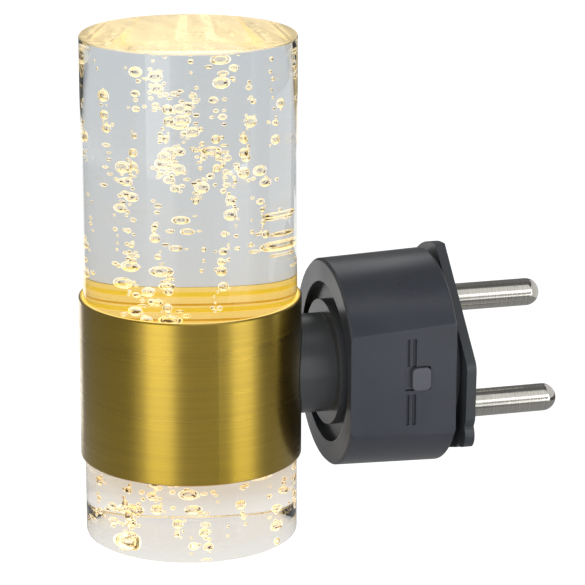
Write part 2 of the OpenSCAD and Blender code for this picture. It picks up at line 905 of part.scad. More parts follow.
module led_screws() {
  color("#b9bcc0")
    at_led_screws()
      translate([0, 0, led_base]) {
        translate([0, 0, -led_screw_l])
          cylinder(d = led_screw_d, h = led_screw_l);
        cylinder(d = led_screw_d * screw_head_width, h = led_screw_d * screw_head_ratio);
      }
}

// Bubbles tried between two heights of a rod, chain by chain, as [centre, radius]
function bubble_tries(low, high, seed) =
  let (
    chains = floor((high - low) / chain_share),
    count = chains * chain_count,
    turn = rands(0, 360, chains, seed),
    reach = rands(0, 1, chains, seed + 1),
    start = rands(low, high, chains, seed + 2),
    size = rands(0, 1, count, seed + 3),
    drift = rands(-chain_scatter, chain_scatter, 3 * count, seed + 4)
  )
  [
    for (i = [0:chains - 1], k = [0:chain_count - 1])
      let (
        n = i * chain_count + k,
        out = crystal_d / 2 * sqrt(reach[i]),
        place = [out * cos(turn[i]), out * sin(turn[i]), start[i] + k * chain_rise],
        grown = (bubble_max_d - bubble_min_d) * pow(size[n], 1.5)
      )
      [place + [drift[3 * n], drift[3 * n + 1], drift[3 * n + 2]], (bubble_min_d + grown) / 2]
  ];

// True if a bubble has its cover of acrylic all round, also next to the bubbles already placed
function bubble_fits(bubble, placed, low, high) =
  let (c = bubble[0], room = bubble[1] + bubble_cover)
  norm([c[0], c[1]]) + room < crystal_d / 2 && c[2] - room > low && c[2] + room < high
  && len([for (other = placed) if (norm(c - other[0]) < other[1] + room) other]) == 0;

// The tried bubbles that fit, taken in order
function fitting_bubbles(tries, low, high, placed = [], i = 0) =
  i == len(tries) ? placed
  : fitting_bubbles(tries, low, high,
                    bubble_fits(tries[i], placed, low, high) ? concat(placed, [tries[i]]) : placed,
                    i + 1);

module bubbles(low, high, seed) {
  for (bubble = fitting_bubbles(bubble_tries(low, high, seed), low, high))
    translate(bubble[0])
      sphere(r = bubble[1], $fn = bubble_fn);
}

module crystal(side, visible) {
  crystal_r = crystal_d / 2;
  end = sleeve_top + visible;
  color("#dfe4e8", 0.4)
    on_lamp(side)
      difference() {
        rotate_extrude()
          polygon([
            [0, crystal_seat], [crystal_r - crystal_chamfer, crystal_seat],
            [crystal_r, crystal_seat + crystal_chamfer], [crystal_r, end - crystal_chamfer],
            [crystal_r - crystal_chamfer, end], [0, end]
          ]);
        bubbles(crystal_seat, end, side * bubble_seed);
      }
}

module upper_crystal() {
  crystal(1, upper_visible);
}

module lower_crystal() {
  crystal(-1, lower_visible);
}

// Two wires to each LED board: along the neck, round a bend, and through the board
module lead_wires() {
  color("#c23b2e")
    for (side = [1, -1], across = [-1, 1])
      translate([across * wire_offset, 0, side * wire_offset]) {
        bar(wire_d / 2, board_rear, lamp_back - wire_bend);
        translate([0, wire_bend - lamp_back, side * wire_bend])
          rotate([0, side * 90, 180])
            rotate_extrude(angle = 90)
              translate([wire_bend, 0])
                circle(d = wire_d);
        translate([0, -lamp_back, 0])
          rotate([side > 0 ? 0 : 180, 0, 0])
            translate([0, 0, wire_bend])
              cylinder(d = wire_d, h = led_base - wire_offset - wire_bend + led[2] / 2);
      }
}

pin_carrier();
upper_pin();
lower_pin();
contact_rings();
retaining_ring();
friction_ring();
plug_housing();
front_cover();
driver_board();
board_screws();
film_capacitor();
smoothing_capacitor();
bridge_rectifier();
driver_chip();
fuse_resistor();
contact_springs();
switch_body();
switch_legs();
switch_knob();
neck();
neck_nut();
lamp_core();
sleeve();
upper_led_board();
lower_led_board();
upper_leds();
lower_leds();
led_screws();
upper_crystal();
lower_crystal();
lead_wires();
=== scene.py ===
import math
import random

import bmesh
import bpy
from mathutils import Matrix, Vector


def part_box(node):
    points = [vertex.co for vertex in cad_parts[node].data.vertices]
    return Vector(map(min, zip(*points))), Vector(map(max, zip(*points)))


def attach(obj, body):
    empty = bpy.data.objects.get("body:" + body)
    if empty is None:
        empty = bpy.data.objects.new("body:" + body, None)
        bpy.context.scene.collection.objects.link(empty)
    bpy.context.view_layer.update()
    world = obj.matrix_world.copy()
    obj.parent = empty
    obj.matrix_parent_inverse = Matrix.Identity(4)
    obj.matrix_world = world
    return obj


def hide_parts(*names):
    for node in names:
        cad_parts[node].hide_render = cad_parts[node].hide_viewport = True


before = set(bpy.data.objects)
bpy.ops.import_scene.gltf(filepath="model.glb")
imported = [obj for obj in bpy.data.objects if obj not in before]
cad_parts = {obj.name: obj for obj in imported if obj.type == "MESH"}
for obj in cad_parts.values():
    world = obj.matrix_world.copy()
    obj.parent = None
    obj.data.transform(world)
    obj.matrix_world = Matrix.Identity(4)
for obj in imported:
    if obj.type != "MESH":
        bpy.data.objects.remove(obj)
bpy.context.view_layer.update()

MM = 0.001

# ---- Camera: the photograph's viewing angle, for a frame of 585 x 585 ----

FRAME_PX = 585
FOCAL_PX = 2906.7
SENSOR_MM = 36.0
CAMERA_AZIMUTH = 73.92
CAMERA_ELEVATION = 15.75
CAMERA_ROLL = -0.13
CAMERA_DISTANCE = 492.4 * MM
CLIP_START = 10 * MM
CAMERA_SLIDE = Vector((2.59, -2.03)) * MM
CAMERA_AIM = Vector((0.0, -30.0, 15.0)) * MM

# ---- Places read from the frame ----

ROD_LOW, ROD_HIGH = (Vector(corner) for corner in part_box("upper_crystal"))
FOOT_LOW, FOOT_HIGH = (Vector(corner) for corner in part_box("lower_crystal"))
SLEEVE_LOW, SLEEVE_HIGH = (Vector(corner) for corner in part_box("sleeve"))
LAMP_X = (ROD_LOW.x + ROD_HIGH.x) / 2
LAMP_Y = (ROD_LOW.y + ROD_HIGH.y) / 2
ROD_R = (ROD_HIGH.x - ROD_LOW.x) / 2
SLEEVE_R = (SLEEVE_HIGH.x - SLEEVE_LOW.x) / 2

# ---- Sizes of what this script makes ----

ROD_EDGE = 0.4 * MM
ROD_EDGE_STEPS = 4
ROD_SEGMENTS = 256
WELD = 0.0001 * MM
LARGEST_VOID = ROD_R / 4
BUBBLE_MARGIN = 0.35 * MM
BUBBLE_GAP = 0.05 * MM
ROUNDER_BUBBLE = 0.55 * MM
SHARP_ANGLE = math.radians(25)
BUBBLE_SHARP_ANGLE = math.radians(80)

# Fine bubbles: each pair is the smallest and the largest, and the lengths are in mm
TRAIL_COUNT = (1, 4)
TRAIL_RADIUS = (0.18, 0.36)
TRAIL_GAP = (0.08, 0.5)
STREAM_COUNT = (2, 6)
STREAM_RADIUS = (0.2, 0.42)
STREAM_STEP = (1.0, 2.4)
STREAM_SWAY = 0.3
UPPER_STREAMS, UPPER_SEED = 46, 11
LOWER_STREAMS, LOWER_SEED = 22, 5

EDGE_ROUND = 0.22 * MM
ACRYLIC_IOR = 1.49


def linear(*colour):
    """An sRGB colour of 0 to 255 as linear values, by the standard's own formula."""
    parts = [value / 255 for value in colour]
    return tuple(part / 12.92 if part <= 0.04045 else ((part + 0.055) / 1.055) ** 2.4 for part in parts)


# ---- Materials ----


class Finish:
    """A material with one Principled shader and short calls for its procedural nodes."""

    def __init__(self, name, colour, roughness, metallic=0.0):
        self.material = bpy.data.materials.new(name)
        self.material.use_nodes = True
        self.nodes = self.material.node_tree.nodes
        self.links = self.material.node_tree.links
        self.shader = self.nodes["Principled BSDF"]
        self.set("Base Color", (*colour, 1.0))
        self.set("Roughness", roughness)
        self.set("Metallic", metallic)

    def set(self, socket, value):
        """Gives a socket of the shader a plain value."""
        self.shader.inputs[socket].default_value = value

    def link(self, source, socket):
        """Feeds a socket of the shader from a node."""
        self.links.new(source, self.shader.inputs[socket])

    def coordinates(self, scale=(1.0, 1.0, 1.0), centre=(0.0, 0.0, 0.0)):
        """The object's own coordinates, moved to a centre and scaled."""
        place = self.nodes.new("ShaderNodeTexCoord")
        mapping = self.nodes.new("ShaderNodeMapping")
        mapping.inputs["Scale"].default_value = scale
        mapping.inputs["Location"].default_value = [-c * s for c, s in zip(centre, scale)]
        self.links.new(place.outputs["Object"], mapping.inputs["Vector"])
        return mapping.outputs["Vector"]

    def turned_coordinates(self, axis, centre, along, across):
        """Coordinates that change fast along an axis and slowly across it, for lines turned round it."""
        scale = [across] * 3
        scale["XYZ".index(axis)] = along
        return self.coordinates(scale, centre)

    def parts(self, vector):
        """The X, Y and Z of a vector, as outputs by name."""
        node = self.nodes.new("ShaderNodeSeparateXYZ")
        self.links.new(vector, node.inputs["Vector"])
        return node.outputs

    def noise(self, vector, scale=1.0, detail=2.0, rough=0.5):
        """Noise from 0 to 1, most of it near the middle."""
        node = self.nodes.new("ShaderNodeTexNoise")
        node.inputs["Scale"].default_value = scale
        node.inputs["Detail"].default_value = detail
        node.inputs["Roughness"].default_value = rough
        self.links.new(vector, node.inputs["Vector"])
        return node.outputs["Fac"]

    def ramp(self, factor, stops):
        """A colour between (position, colour) stops."""
        node = self.nodes.new("ShaderNodeValToRGB")
        points = node.color_ramp.elements
        while len(points) < len(stops):
            points.new(0.5)
        for point, (position, colour) in zip(points, stops):
            point.position = position
            point.color = (*colour, 1.0)
        self.links.new(factor, node.inputs["Fac"])
        return node.outputs["Color"]

    def spread(self, factor, low, high, start=0.3, end=0.7):
        """Maps a factor from its range start to end onto low to high, and holds it at both."""
        node = self.nodes.new("ShaderNodeMapRange")
        for socket, value in zip(("From Min", "From Max", "To Min", "To Max"), (start, end, low, high)):
            node.inputs[socket].default_value = value
        self.links.new(factor, node.inputs["Value"])
        return node.outputs["Result"]

    def maths(self, operation, first, second=0.0):
        """One sum, with numbers or outputs of nodes."""
        node = self.nodes.new("ShaderNodeMath")
        node.operation = operation
        for socket, value in zip(node.inputs, (first, second)):
            if isinstance(value, float):
                socket.default_value = value
            else:
                self.links.new(value, socket)
        return node.outputs["Value"]

    def bump(self, height, strength, distance, normal=None):
        """Bumps the surface, on top of another normal if one is given."""
        node = self.nodes.new("ShaderNodeBump")
        node.inputs["Strength"].default_value = strength
        node.inputs["Distance"].default_value = distance
        self.links.new(height, node.inputs["Height"])
        if normal is not None:
            self.links.new(normal, node.inputs["Normal"])
        self.link(node.outputs["Normal"], "Normal")

    def rounded_edges(self, radius):
        """A normal that rounds every edge of the piece."""
        node = self.nodes.new("ShaderNodeBevel")
        node.samples = 4
        node.inputs["Radius"].default_value = radius
        return node.outputs["Normal"]

    def tangent(self, axis):
        """Lays the highlights' direction round an axis."""
        node = self.nodes.new("ShaderNodeTangent")
        node.direction_type = "RADIAL"
        node.axis = axis
        self.link(node.outputs["Tangent"], "Tangent")


def moulded_plastic(name, dark, light, roughness, grain=0.35):
    """Satin moulded plastic: a fine spark-eroded grain, slow colour drift and softly broken edges."""
    finish = Finish(name, dark, roughness)
    finish.set("IOR", 1.5)
    finish.set("Specular IOR Level", 0.45)
    place = finish.coordinates()
    drift = finish.noise(place, scale=90.0, detail=3.0)
    finish.link(finish.ramp(drift, [(0.35, dark), (0.65, light)]), "Base Color")
    finish.link(finish.spread(drift, roughness - 0.04, roughness + 0.05), "Roughness")
    fine = finish.noise(place, scale=5200.0)
    finish.bump(fine, strength=grain, distance=0.01 * MM, normal=finish.rounded_edges(EDGE_ROUND))
    return finish.material


def brushed_finish(name, dark, light, axis, centre, roughness, anisotropic, lines, bump):
    """Metal brushed or turned in lines round an axis, so that highlights stretch along that axis."""
    finish = Finish(name, light, roughness, metallic=1.0)
    fine_place = finish.turned_coordinates(axis, centre, along=lines, across=28.0)
    fine = finish.noise(fine_place, detail=3.0, rough=0.65)
    bands = finish.noise(finish.turned_coordinates(axis, centre, along=lines / 6, across=9.0))
    finish.link(finish.ramp(fine, [(0.28, dark), (0.72, light)]), "Base Color")
    finish.link(finish.spread(bands, roughness - 0.05, roughness + 0.07), "Roughness")
    finish.bump(fine, strength=bump, distance=0.004 * MM)
    finish.set("Anisotropic", anisotropic)
    finish.set("Anisotropic Rotation", 0.25)
    finish.tangent(axis)
    return finish


def turned_core(name, dark, light, centre):
    """The lamp core's plain turned surface."""
    finish = brushed_finish(name, dark, light, "Z", centre,
                            roughness=0.35, anisotropic=0.5, lines=2600.0, bump=0.4)
    return finish.material


def gold_sleeve(name, dark, light, centre, painted_bore_glow):
    """Anodised gold, brushed around, with a clear layer. A painted LED glow lies on its bore, dimmer in its
    grooves.
    """
    finish = brushed_finish(name, dark, light, "Z", centre,
                            roughness=0.3, anisotropic=0.75, lines=5200.0, bump=0.35)
    finish.set("Coat Weight", 0.9)
    finish.set("Coat Roughness", 0.25)
    finish.set("Coat IOR", 1.72)
    # Painted LED glow: emission on the bore, set by the distance from the lamp's axis
    away = finish.nodes.new("ShaderNodeVectorMath")
    away.operation = "LENGTH"
    finish.links.new(finish.coordinates((1.0, 1.0, 0.0), centre), away.inputs[0])
    depth = finish.spread(away.outputs["Value"], 0.0, 1.0, start=ROD_R, end=SLEEVE_R)
    finish.link(finish.ramp(depth, painted_bore_glow), "Emission Color")
    finish.link(finish.spread(depth, 1.3, 0.0, start=0.6, end=0.7), "Emission Strength")
    return finish.material


def turned_nickel(name, node):
    """Turned nickel plating with a polished nose."""
    low, high = (Vector(corner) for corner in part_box(node))
    finish = brushed_finish(name, linear(176, 173, 166), linear(222, 219, 212), "Y", (low + high) / 2,
                            roughness=0.18, anisotropic=0.6, lines=3800.0, bump=0.45)
    nose_start = high.y - (high.x - low.x) / 2
    along = finish.parts(finish.coordinates())["Y"]
    shank = finish.spread(along, 1.0, 0.0, start=nose_start - 0.1 * MM, end=nose_start + 0.1 * MM)
    drift = finish.noise(finish.coordinates(), scale=300.0)
    rough = finish.maths("MULTIPLY", shank, finish.spread(drift, 0.08, 0.16))
    finish.link(finish.maths("ADD", rough, 0.05), "Roughness")
    finish.link(finish.maths("MULTIPLY", shank, 0.6), "Anisotropic")
    return finish.material


def plain_metal(name, dark, light, roughness):
    """Small plated or stamped metal pieces, with faint stains and scratches."""
    finish = Finish(name, light, roughness, metallic=1.0)
    stain = finish.noise(finish.coordinates(), scale=700.0, detail=4.0)
    scratch = finish.noise(finish.coordinates((300.0, 4000.0, 300.0)))
    finish.link(finish.ramp(stain, [(0.3, dark), (0.7, light)]), "Base Color")
    finish.link(finish.spread(stain, roughness - 0.06, roughness + 0.1), "Roughness")
    finish.bump(scratch, strength=0.15, distance=0.005 * MM)
    return finish.material


def glossy_plastic(name, dark, light, roughness):
    """Sleeved, dipped or coated parts of the driver."""
    finish = Finish(name, light, roughness)
    drift = finish.noise(finish.coordinates(), scale=420.0, detail=3.0)
    finish.link(finish.ramp(drift, [(0.35, dark), (0.65, light)]), "Base Color")
    finish.bump(drift, strength=0.2, distance=0.02 * MM)
    return finish.material


def circuit_board(name, mask, copper):
    """Solder mask over copper tracks: the tracks show as a slightly lighter, raised network."""
    finish = Finish(name, mask, 0.32)
    cells = finish.nodes.new("ShaderNodeTexVoronoi")
    cells.distance = "MANHATTAN"
    cells.feature = "DISTANCE_TO_EDGE"
    cells.inputs["Scale"].default_value = 320.0
    finish.links.new(finish.coordinates(), cells.inputs["Vector"])
    tracks = finish.spread(cells.outputs["Distance"], 1.0, 0.0, start=0.02, end=0.1)
    finish.link(finish.ramp(tracks, [(0.4, mask), (0.6, copper)]), "Base Color")
    finish.bump(tracks, strength=0.3, distance=0.03 * MM)
    return finish.material


def phosphor_or_painted_glow(name, colour, glow, strength):
    """A surface with a painted warm LED glow, or an LED's own phosphor, which emits."""
    finish = Finish(name, colour, 0.35)
    drift = finish.noise(finish.coordinates(), scale=260.0, detail=3.0)
    shade = tuple(value * 0.86 for value in colour)
    finish.link(finish.ramp(drift, [(0.3, shade), (0.7, colour)]), "Base Color")
    finish.set("Emission Color", (*glow, 1.0))
    finish.link(finish.spread(drift, strength * 0.8, strength * 1.2), "Emission Strength")
    return finish.material


def clear_acrylic(name, painted_tints, painted_end_dim, painted_end_glow):
    """Polished cast acrylic. Its painted tint changes with height: painted shade, and painted warm LED
    light near the sleeve. Its top end face is dimmed under a painted LED glow.
    """
    finish = Finish(name, (1.0, 1.0, 1.0), 0.0)
    finish.set("IOR", ACRYLIC_IOR)
    finish.set("Transmission Weight", 1.0)
    height = finish.parts(finish.coordinates())["Z"]
    # Painted tint by height: painted shade, and painted warm LED light near the sleeve
    painted_tint = finish.ramp(finish.spread(height, 0.0, 1.0, start=FOOT_LOW.z, end=ROD_HIGH.z), painted_tints)
    end = finish.spread(height, 0.0, 1.0, start=ROD_HIGH.z - 0.3 * MM, end=ROD_HIGH.z - 0.1 * MM)
    veil = finish.nodes.new("ShaderNodeMix")
    veil.data_type = "RGBA"
    veil.inputs["B"].default_value = (*painted_end_dim, 1.0)
    finish.links.new(end, veil.inputs["Factor"])
    finish.links.new(painted_tint, veil.inputs["A"])
    finish.link(veil.outputs["Result"], "Base Color")
    # Painted LED glow on the top end face, streaked by noise
    glow_streaks = finish.noise(finish.coordinates((1.0, 3.0, 1.0)), scale=110.0, detail=3.0)
    finish.set("Emission Color", (*painted_end_glow, 1.0))
    finish.link(finish.maths("MULTIPLY", end, finish.spread(glow_streaks, 0.5, 0.68)), "Emission Strength")
    ripple = finish.noise(finish.coordinates((1.0, 1.0, 0.5)), scale=120.0, detail=1.0)
    finish.bump(ripple, strength=0.05, distance=0.02 * MM)
    return finish.material


def bubble_air(name, clear, dark, glow):
    """Air inside acrylic: the index drops across the surface, a painted LED glow lies on the rim, and
    specks of painted dark reflection sit on the bubble's sides."""
    finish = Finish(name, clear, 0.0)
    finish.set("IOR", 1.0 / ACRYLIC_IOR)
    finish.set("Transmission Weight", 1.0)
    finish.set("Emission Color", (*glow, 1.0))
    # Painted LED glow on the rim, by facing, patchy by noise
    facing = finish.nodes.new("ShaderNodeLayerWeight")
    facing.inputs["Blend"].default_value = 0.5
    rim = finish.spread(facing.outputs["Facing"], 0.1, 1.0, start=0.3, end=0.62)
    uneven = finish.noise(finish.coordinates(), scale=900.0)
    lit = finish.maths("MULTIPLY", rim, finish.spread(uneven, 0.5, 1.3))
    # Painted dark reflections: specks on the sides, placed by the normal and noise
    upward = finish.parts(finish.nodes.new("ShaderNodeNewGeometry").outputs["Normal"])["Z"]
    side = finish.spread(finish.maths("ABSOLUTE", upward), 1.0, 0.0, start=0.2, end=0.45)
    spots = finish.noise(finish.coordinates(), scale=1300.0, detail=1.0)
    painted_dark_speck = finish.maths("MULTIPLY", side, finish.spread(spots, 0.0, 1.0, start=0.58, end=0.62))
    finish.link(finish.maths("MULTIPLY", lit, finish.maths("SUBTRACT", 1.0, painted_dark_speck)), "Emission Strength")
    finish.link(finish.ramp(painted_dark_speck, [(0.0, clear), (1.0, dark)]), "Base Color")
    return finish.material


# Painted LED glow on the sleeve's bore, from its land through the wide grooves to the score lines
BORE_PAINTED_GLOW = (
    (0.12, linear(246, 222, 138)),
    (0.2, linear(236, 204, 56)),
    (0.32, linear(236, 204, 56)),
    (0.4, linear(186, 142, 34)),
)

# Painted tint of the acrylic, from the foot's underside to the upper rod's top: painted shade, amber near
# the sleeve as painted warm LED light
ACRYLIC_PAINTED_TINTS = (
    (0.0, (0.86, 0.85, 0.81)),
    (0.07, (0.8, 0.76, 0.7)),
    (0.15, (0.5, 0.4, 0.28)),
    (0.45, (0.58, 0.55, 0.5)),
    (0.56, (0.57, 0.58, 0.57)),
    (1.0, (0.52, 0.555, 0.58)),
)
# Dimming of the top end face, under its painted LED glow
END_PAINTED_DIM = (0.2, 0.2, 0.2)
# Bubble air's tint, warmed as painted warm LED light, and the colour of its painted dark reflections
AIR_CLEAR, AIR_PAINTED_DARK = (1.0, 0.96, 0.88), (0.03, 0.015, 0.01)
LAMP_CENTRE = (LAMP_X, LAMP_Y, 0.0)

DARK_PLASTIC = moulded_plastic("satin_dark_plastic", linear(50, 53, 60), linear(55, 58, 65), 0.3)
CARRIER_PLASTIC = moulded_plastic("carrier_plastic", linear(50, 53, 57), linear(56, 59, 62), 0.36)
COVER_PLASTIC = moulded_plastic("cover_plastic", linear(22, 22, 24), linear(30, 30, 32), 0.6)
NECK_PLASTIC = moulded_plastic("neck_plastic", linear(62, 64, 67), linear(67, 69, 72), 0.3)
KNOB_PLASTIC = moulded_plastic("knob_plastic", linear(74, 76, 83), linear(80, 82, 89), 0.4)
BLACK_PLASTIC = moulded_plastic("black_moulding", linear(24, 24, 26), linear(34, 34, 36), 0.5)
RUBBER = moulded_plastic("friction_rubber", linear(18, 18, 19), linear(26, 26, 27), 0.75, grain=0.6)
BRUSHED_GOLD = gold_sleeve("brushed_gold", (0.54, 0.35, 0.01), (0.66, 0.44, 0.014), LAMP_CENTRE, BORE_PAINTED_GLOW)
TURNED_CORE = turned_core("turned_aluminium", linear(178, 180, 184), linear(205, 207, 210), LAMP_CENTRE)
PLATED_STEEL = plain_metal("plated_steel", linear(160, 163, 168), linear(205, 207, 210), 0.3)
SPRING_STEEL = plain_metal("spring_steel", linear(110, 114, 120), linear(150, 154, 160), 0.35)
STAMPED_BRASS = plain_metal("stamped_brass", linear(190, 150, 70), linear(225, 190, 105), 0.3)
TINNED = plain_metal("tinned_leg", linear(180, 182, 185), linear(214, 216, 218), 0.35)
DRIVER_BOARD = circuit_board("driver_board_mask", linear(28, 82, 44), linear(48, 116, 62))
FILM_RED = glossy_plastic("film_red", linear(140, 24, 18), linear(172, 34, 26), 0.25)
CAP_BLUE = glossy_plastic("cap_sleeve", linear(28, 38, 62), linear(40, 52, 80), 0.3)
RESISTOR_GREEN = glossy_plastic("resistor_coat", linear(84, 130, 122), linear(104, 150, 140), 0.4)
WIRE_RED = glossy_plastic("wire_insulation", linear(150, 36, 26), linear(182, 48, 36), 0.35)
# The LED board's glow is painted LED light; the phosphor's glow is the LEDs' own light
LED_BOARD_PAINTED_GLOW = phosphor_or_painted_glow("led_board_painted_glow", linear(238, 236, 228), linear(255, 236, 190), 1.4)
LED_LIT = phosphor_or_painted_glow("led_phosphor_lit", linear(250, 214, 110), linear(255, 240, 200), 2.6)
ACRYLIC = clear_acrylic("clear_acrylic", ACRYLIC_PAINTED_TINTS, END_PAINTED_DIM, linear(255, 230, 172))
BUBBLES = bubble_air("bubble_air", AIR_CLEAR, AIR_PAINTED_DARK, linear(255, 222, 150))


# ---- Mesh helpers ----


def add_clear(name, mesh, material):
    """A piece of a clear rod, which rides on the lamp."""
    piece = bpy.data.objects.new(name, mesh)
    bpy.context.scene.collection.objects.link(piece)
    mesh.materials.append(material)
    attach(piece, "lamp")
    return piece


def finish_mesh(name, bm, sharp_angle=SHARP_ANGLE):
    """Turns a bmesh into a smooth-shaded mesh with its corners kept sharp."""
    bmesh.ops.recalc_face_normals(bm, faces=bm.faces)
    for face in bm.faces:
        face.smooth = True
    for edge in bm.edges:
        edge.smooth = edge.calc_face_angle(0.0) < sharp_angle
    mesh = bpy.data.meshes.new(name)
    bm.to_mesh(mesh)
    bm.free()
    return mesh


def lathe(name, profile, place, segments):
    """Turns a profile of (radius, height) about the Z axis into a mesh, and moves it to its place."""
    bm = bmesh.new()
    rings = []
    for radius, height in profile:
        count = segments if radius > 0 else 1
        angles = [2 * math.pi * step / segments for step in range(count)]
        spots = [Vector((radius * math.cos(angle), radius * math.sin(angle), height)) for angle in angles]
        rings.append([bm.verts.new(place @ spot) for spot in spots])
    for first, second in zip(rings, rings[1:]):
        for step in range(segments):
            after = (step + 1) % segments
            corners = [first[step % len(first)], first[after % len(first)],
                       second[after % len(second)], second[step % len(second)]]
            bm.faces.new(tuple(dict.fromkeys(corners)))
    return finish_mesh(name, bm)


def arc(centre, radius, start, end, steps):
    """Points (radius, height) along an arc, angles in degrees."""
    points = []
    for step in range(steps + 1):
        angle = math.radians(start + (end - start) * step / steps)
        points.append((centre[0] + radius * math.cos(angle), centre[1] + radius * math.sin(angle)))
    return points


# ---- Clear rods and their bubbles ----


def clear_rod(name, node, low, high):
    """A polished rod with rounded edges, in place of its CAD node."""
    flat = ROD_R - ROD_EDGE
    profile = [(0.0, low)]
    profile += arc((flat, low + ROD_EDGE), ROD_EDGE, -90, 0, ROD_EDGE_STEPS)
    profile += arc((flat, high - ROD_EDGE), ROD_EDGE, 0, 90, ROD_EDGE_STEPS)
    profile += [(0.0, high)]
    rod = add_clear(name, lathe(name, profile, Matrix.Translation(LAMP_CENTRE), ROD_SEGMENTS), ACRYLIC)
    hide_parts(node)


def cad_bubbles(node):
    """The voids of a clear rod as (centre, radius), in order: all its mesh's shells but the outer one."""
    bm = bmesh.new()
    bm.from_mesh(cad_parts[node].data)
    bmesh.ops.remove_doubles(bm, verts=bm.verts, dist=WELD)
    unseen = set(bm.verts)
    shells = []
    while unseen:
        shell, frontier = set(), [unseen.pop()]
        while frontier:
            vert = frontier.pop()
            shell.add(vert)
            for edge in vert.link_edges:
                other = edge.other_vert(vert)
                if other in unseen:
                    unseen.remove(other)
                    frontier.append(other)
        low = Vector([min(v.co[axis] for v in shell) for axis in range(3)])
        high = Vector([max(v.co[axis] for v in shell) for axis in range(3)])
        shells.append(((low + high) / 2, (high.z - low.z) / 2))
    bm.free()
    voids = [shell for shell in shells if shell[1] < LARGEST_VOID]
    return sorted(voids, key=lambda void: tuple(void[0]))


def fine_bubbles(large, low, high, streams, seed):
    """Small bubbles that trail from the larger ones and rise in thin streams of their own."""
    draw = random.Random(seed)
    placed = list(large)
    middle = Vector(LAMP_CENTRE)

    def put(centre, radius):
        """Keeps a bubble that is inside the rod and clear of the others."""
        room = radius + BUBBLE_MARGIN
        if (centre - middle).xy.length > ROD_R - room or not low + room < centre.z < high - room:
            return
        if all((centre - other).length > radius + reach + BUBBLE_GAP for other, reach in placed):
            placed.append((centre, radius))

    for centre, radius in large:
        for _ in range(draw.randint(*TRAIL_COUNT)):
            small = draw.uniform(*TRAIL_RADIUS) * MM
            away = Vector([draw.gauss(0, 1) for _ in range(3)]).normalized()
            put(centre + away * (radius + small + draw.uniform(*TRAIL_GAP) * MM), small)
    for _ in range(streams):
        turn = draw.uniform(0, 2 * math.pi)
        reach = ROD_R * math.sqrt(draw.uniform(0, 1))
        start = Vector((reach * math.cos(turn), reach * math.sin(turn), draw.uniform(low, high)))
        place = middle + start
        for _ in range(draw.randint(*STREAM_COUNT)):
            sway = Vector([draw.gauss(0, STREAM_SWAY) * MM for _ in range(3)])
            put(place + sway, draw.uniform(*STREAM_RADIUS) * MM)
            place.z += draw.uniform(*STREAM_STEP) * MM
    return placed[len(large):]


def bubble_mesh(name, bubbles):
    """All bubbles of a rod as one mesh of round shells, finer on the larger ones."""
    bm = bmesh.new()
    for centre, radius in bubbles:
        steps = 3 if radius > ROUNDER_BUBBLE else 2
        bmesh.ops.create_icosphere(bm, subdivisions=steps, radius=radius, matrix=Matrix.Translation(centre))
    return finish_mesh(name, bm, BUBBLE_SHARP_ANGLE)


def fill_rod(name, node, low, high, streams, seed):
    """A clear rod with the CAD's own bubbles and the fine ones."""
    large = cad_bubbles(node)
    clear_rod(name + "_rod", node, low, high)
    bubbles = large + fine_bubbles(large, low, high, streams, seed)
    add_clear(name + "_bubbles", bubble_mesh(name + "_bubbles", bubbles), BUBBLES)


fill_rod("upper", "upper_crystal", ROD_LOW.z, ROD_HIGH.z, UPPER_STREAMS, UPPER_SEED)
fill_rod("lower", "lower_crystal", FOOT_LOW.z, FOOT_HIGH.z, LOWER_STREAMS, LOWER_SEED)


# ---- Finishes of the CAD nodes ----

NODE_FINISHES = {
    "pin_carrier": CARRIER_PLASTIC,
    "upper_pin": turned_nickel("turned_nickel_upper", "upper_pin"),
    "lower_pin": turned_nickel("turned_nickel_lower", "lower_pin"),
    "contact_rings": STAMPED_BRASS,
    "retaining_ring": SPRING_STEEL,
    "friction_ring": RUBBER,
    "plug_housing": DARK_PLASTIC,
    "front_cover": COVER_PLASTIC,
    "driver_board": DRIVER_BOARD,
    "board_screws": PLATED_STEEL,
    "film_capacitor": FILM_RED,
    "smoothing_capacitor": CAP_BLUE,
    "bridge_rectifier": BLACK_PLASTIC,
    "driver_chip": BLACK_PLASTIC,
    "fuse_resistor": RESISTOR_GREEN,
    "contact_springs": STAMPED_BRASS,
    "switch_body": BLACK_PLASTIC,
    "switch_legs": TINNED,
    "switch_knob": KNOB_PLASTIC,
    "neck": NECK_PLASTIC,
    "neck_nut": PLATED_STEEL,
    "lamp_core": TURNED_CORE,
    "sleeve": BRUSHED_GOLD,
    "upper_led_board": LED_BOARD_PAINTED_GLOW,
    "lower_led_board": LED_BOARD_PAINTED_GLOW,
    "upper_leds": LED_LIT,
    "lower_leds": LED_LIT,
    "led_screws": PLATED_STEEL,
    "lead_wires": WIRE_RED,
}
for node, material in NODE_FINISHES.items():
    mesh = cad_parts[node].data
    mesh.materials.clear()
    mesh.materials.append(material)


# ---- Studio ----

WHITE = (1.0, 1.0, 1.0)
WORLD_LIGHT = 0.42
FLOOR_HEIGHT = FOOT_LOW.z - 90 * MM
FLOOR_SIZE = 30.0
FLOOR_GREY = (0.42, 0.42, 0.42)
FLOOR_FILL = 0.84
CENTRE = Vector((0.0, LAMP_Y / 2, (ROD_HIGH.z + FOOT_LOW.z) / 2))

# Lamps: direction from the camera's in degrees, height above the object's middle, distance, width and
# height of the lamp in metres, power in watts, and whether reflections show it
LAMPS = (
    ("key_left", -34, 0.05, 0.8, 0.45, 0.7, 1.8, True),
    ("key_right", 52, 0.05, 0.8, 0.35, 0.7, 2.4, True),
    ("fill_front", 16, -0.05, 0.6, 0.4, 0.1, 1.6, False),
    ("top", 0, 0.9, 0.1, 0.6, 0.6, 1.5, False),
)

CARD_RADIUS = 0.33
CARD_STEPS = 48
CARD_LOW, CARD_HIGH = FLOOR_HEIGHT + 1 * MM, 0.45
EYE_LOW, EYE_HIGH = -20 * MM, 60 * MM
BEHIND_HIGH = 0.19
